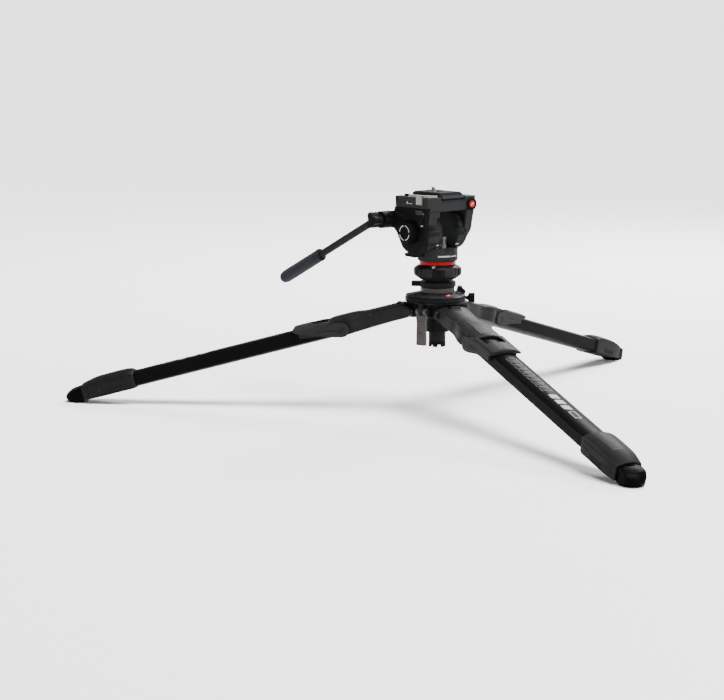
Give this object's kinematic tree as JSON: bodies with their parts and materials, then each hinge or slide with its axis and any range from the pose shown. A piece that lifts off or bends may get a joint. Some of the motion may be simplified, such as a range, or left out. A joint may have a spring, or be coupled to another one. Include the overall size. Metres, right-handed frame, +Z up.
{
  "type": "tripod with fluid head",
  "caption": "Low video tripod: splayed flattened-tube telescopic legs with lock levers, lobed crown, short sliding column, and a fluid pan-and-tilt head with pan bar and quick-release plate.",
  "frame": {"origin": "bottom centre of the bounding box, on the floor", "axes": "+Z up; the left leg points along -X and the other two 60 degrees either side of +X; the head faces 45 degrees between +X and -Y"},
  "size_m": [0.953, 1.0974, 0.3675],
  "materials": {
    "black_alloy": "satin black, fine texture",
    "black_plastic": "moulded satin black",
    "lock_ring_black": "moulded satin black",
    "vial": "smoked gloss",
    "titanium_grey": "satin grey-brown anodised",
    "red_anodised": "red anodised",
    "machined_steel": "machined",
    "pad_rubber": "ribbed rubber",
    "foam_grip": "closed-cell foam",
    "foot_rubber": "smooth rubber",
    "leg_tube_black": "black anodised",
    "leg_casting": "satin dark grey",
    "leg_plastic": "satin dark grey",
    "pin_steel": "blackened"
  },
  "bodies": {
    "crown": {"crown": "black_alloy", "crown_cover": "black_alloy", "collar_ring": "titanium_grey", "left_hinge_pin": "pin_steel", "front_hinge_pin": "pin_steel", "rear_hinge_pin": "pin_steel"},
    "column_lever": {"column_lever": "titanium_grey"},
    "column_knob": {"column_knob": "black_plastic"},
    "column_catch": {"column_catch": "black_plastic"},
    "column": {"centre_column": "black_alloy", "column_end": "black_plastic", "column_head": "black_alloy", "head_base": "black_alloy", "red_ring": "red_anodised", "pan_shaft": "machined_steel"},
    "release_tab": {"release_tab": "black_plastic"},
    "lock_ring": {"lock_ring": "lock_ring_black"},
    "pan": {"pan_housing": "black_alloy", "level_vial": "vial"},
    "pan_lock_knob": {"pan_lock_knob": "black_plastic"},
    "tilt_lock_lever": {"tilt_lock_lever": "black_plastic"},
    "tilt": {"tilt_platform": "black_alloy", "drag_side_cover": "black_plastic", "tilt_cartridge": "machined_steel", "tilt_axle": "machined_steel", "corner_cap": "black_plastic"},
    "drag_knob": {"drag_knob": "black_plastic"},
    "plate_lever": {"plate_lever": "machined_steel"},
    "plate_catch": {"plate_catch": "black_plastic"},
    "camera_plate": {"camera_plate": "black_alloy", "plate_pad": "pad_rubber"},
    "camera_screw": {"camera_screw": "machined_steel"},
    "pan_bar": {"bar_fitting": "black_plastic", "bar_tube": "black_alloy", "bar_grip": "foam_grip"},
    "bar_knob": {"bar_knob": "black_plastic"},
    "left_leg": {"left_yoke": "leg_casting", "left_outer_tube": "leg_tube_black", "left_lower_casing": "leg_plastic"},
    "left_angle_latch": {"left_angle_latch": "leg_plastic"},
    "left_lock_lever": {"left_lock_lever": "leg_plastic"},
    "left_middle": {"left_middle_tube": "leg_tube_black"},
    "left_lower": {"left_lower_tube": "leg_tube_black", "left_foot": "foot_rubber"},
    "front_leg": {"front_yoke": "leg_casting", "front_outer_tube": "leg_tube_black", "front_lower_casing": "leg_plastic"},
    "front_angle_latch": {"front_angle_latch": "leg_plastic"},
    "front_lock_lever": {"front_lock_lever": "leg_plastic"},
    "front_middle": {"front_middle_tube": "leg_tube_black"},
    "front_lower": {"front_lower_tube": "leg_tube_black", "front_foot": "foot_rubber"},
    "rear_leg": {"rear_yoke": "leg_casting", "rear_outer_tube": "leg_tube_black", "rear_lower_casing": "leg_plastic"},
    "rear_angle_latch": {"rear_angle_latch": "leg_plastic"},
    "rear_lock_lever": {"rear_lock_lever": "leg_plastic"},
    "rear_middle": {"rear_middle_tube": "leg_tube_black"},
    "rear_lower": {"rear_lower_tube": "leg_tube_black", "rear_foot": "foot_rubber"}
  },
  "joints": [
    {"name": "column_slide", "type": "slide", "parent": "crown", "child": "column", "axis": [0, 0, 1], "range_m": [0, 0.04]},
    {"name": "column_lever_swing", "type": "hinge", "parent": "crown", "child": "column_lever", "pos_m": [0.12924, -0.03984, 0.168], "axis": [-0.866, 0.5, 0], "range_deg": [0, 80]},
    {"name": "column_knob_turn", "type": "hinge", "parent": "crown", "child": "column_knob", "pos_m": [0.20824, 0, 0.1865], "axis": [1, 0, 0], "continuous": true},
    {"name": "column_catch_slide", "type": "slide", "parent": "crown", "child": "column_catch", "axis": [0.9659, 0.2588, 0], "range_m": [0, 0.0025], "stiffness_N_per_m": 600, "springref_m": -0.001},
    {"name": "release_tab_press", "type": "slide", "parent": "column", "child": "release_tab", "axis": [1, 0, 0], "range_m": [0, 0.002], "stiffness_N_per_m": 600, "springref_m": -0.001},
    {"name": "lock_ring_turn", "type": "hinge", "parent": "column", "child": "lock_ring", "pos_m": [0.15224, 0, 0.229], "axis": [0, 0, 1], "range_deg": [0, 40]},
    {"name": "pan", "type": "hinge", "parent": "column", "child": "pan", "pos_m": [0.15224, 0, 0.26], "axis": [0, 0, 1], "continuous": true},
    {"name": "pan_lock_turn", "type": "hinge", "parent": "pan", "child": "pan_lock_knob", "pos_m": [0.12395, 0.02828, 0.257], "axis": [0.7071, -0.7071, 0], "range_deg": [0, 180]},
    {"name": "tilt_lock_swing", "type": "hinge", "parent": "pan", "child": "tilt_lock_lever", "pos_m": [0.12395, -0.02828, 0.2595], "axis": [0.7071, 0.7071, 0], "range_deg": [-40, 0]},
    {"name": "tilt", "type": "hinge", "parent": "pan", "child": "tilt", "pos_m": [0.15224, 0, 0.297], "axis": [0.7071, 0.7071, 0], "range_deg": [-35, 90]},
    {"name": "drag_knob_turn", "type": "hinge", "parent": "tilt", "child": "drag_knob", "pos_m": [0.10698, -0.04525, 0.297], "axis": [-0.7071, -0.7071, 0], "range_deg": [0, 270]},
    {"name": "plate_lever_swing", "type": "hinge", "parent": "tilt", "child": "plate_lever", "pos_m": [0.14163, -0.05728, 0.356], "axis": [0, 0, 1], "range_deg": [0, 40]},
    {"name": "plate_catch_press", "type": "slide", "parent": "tilt", "child": "plate_catch", "axis": [0, 0, -1], "range_m": [0, 0.0015], "stiffness_N_per_m": 600, "springref_m": -0.001},
    {"name": "plate_slide", "type": "slide", "parent": "tilt", "child": "camera_plate", "axis": [0.7071, -0.7071, 0], "range_m": [-0.02, 0.02]},
    {"name": "camera_screw_turn", "type": "hinge", "parent": "camera_plate", "child": "camera_screw", "pos_m": [0.14411, 0.00601, 0.356], "axis": [0, 0, 1], "continuous": true},
    {"name": "bar_swing", "type": "hinge", "parent": "tilt", "child": "pan_bar", "pos_m": [0.06456, -0.01131, 0.315], "axis": [0.7071, 0.7071, 0], "range_deg": [-20, 100]},
    {"name": "bar_knob_turn", "type": "hinge", "parent": "pan_bar", "child": "bar_knob", "pos_m": [0.05183, -0.02404, 0.315], "axis": [-0.7071, -0.7071, 0], "continuous": true},
    {"name": "left_leg_fold", "type": "hinge", "parent": "crown", "child": "left_leg", "pos_m": [0.10224, 0, 0.1642], "axis": [0, -1, 0], "range_deg": [0, 75]},
    {"name": "left_latch_slide", "type": "slide", "parent": "left_leg", "child": "left_angle_latch", "axis": [-0.9659, 0, -0.2588], "range_m": [0, 0.0025], "stiffness_N_per_m": 600, "springref_m": -0.001},
    {"name": "left_lever_open", "type": "hinge", "parent": "left_leg", "child": "left_lock_lever", "pos_m": [-0.00324, 0, 0.13283], "axis": [0, 1, 0], "range_deg": [0, 70]},
    {"name": "left_middle_extend", "type": "slide", "parent": "left_leg", "child": "left_middle", "axis": [-0.9659, 0, -0.2588], "range_m": [0, 0.38]},
    {"name": "left_lower_extend", "type": "slide", "parent": "left_middle", "child": "left_lower", "axis": [-0.9659, 0, -0.2588], "range_m": [0, 0.38]},
    {"name": "front_leg_fold", "type": "hinge", "parent": "crown", "child": "front_leg", "pos_m": [0.17724, -0.0433, 0.1642], "axis": [0.866, 0.5, 0], "range_deg": [0, 75]},
    {"name": "front_latch_slide", "type": "slide", "parent": "front_leg", "child": "front_angle_latch", "axis": [0.483, -0.8365, -0.2588], "range_m": [0, 0.0025], "stiffness_N_per_m": 600, "springref_m": -0.001},
    {"name": "front_lever_open", "type": "hinge", "parent": "front_leg", "child": "front_lock_lever", "pos_m": [0.22997, -0.13465, 0.13283], "axis": [-0.866, -0.5, 0], "range_deg": [0, 70]},
    {"name": "front_middle_extend", "type": "slide", "parent": "front_leg", "child": "front_middle", "axis": [0.483, -0.8365, -0.2588], "range_m": [0, 0.38]},
    {"name": "front_lower_extend", "type": "slide", "parent": "front_middle", "child": "front_lower", "axis": [0.483, -0.8365, -0.2588], "range_m": [0, 0.38]},
    {"name": "rear_leg_fold", "type": "hinge", "parent": "crown", "child": "rear_leg", "pos_m": [0.17724, 0.0433, 0.1642], "axis": [-0.866, 0.5, 0], "range_deg": [0, 75]},
    {"name": "rear_latch_slide", "type": "slide", "parent": "rear_leg", "child": "rear_angle_latch", "axis": [0.483, 0.8365, -0.2588], "range_m": [0, 0.0025], "stiffness_N_per_m": 600, "springref_m": -0.001},
    {"name": "rear_lever_open", "type": "hinge", "parent": "rear_leg", "child": "rear_lock_lever", "pos_m": [0.22997, 0.13465, 0.13283], "axis": [0.866, -0.5, 0], "range_deg": [0, 70]},
    {"name": "rear_middle_extend", "type": "slide", "parent": "rear_leg", "child": "rear_middle", "axis": [0.483, 0.8365, -0.2588], "range_m": [0, 0.38]},
    {"name": "rear_lower_extend", "type": "slide", "parent": "rear_middle", "child": "rear_lower", "axis": [0.483, 0.8365, -0.2588], "range_m": [0, 0.38]}
  ]
}
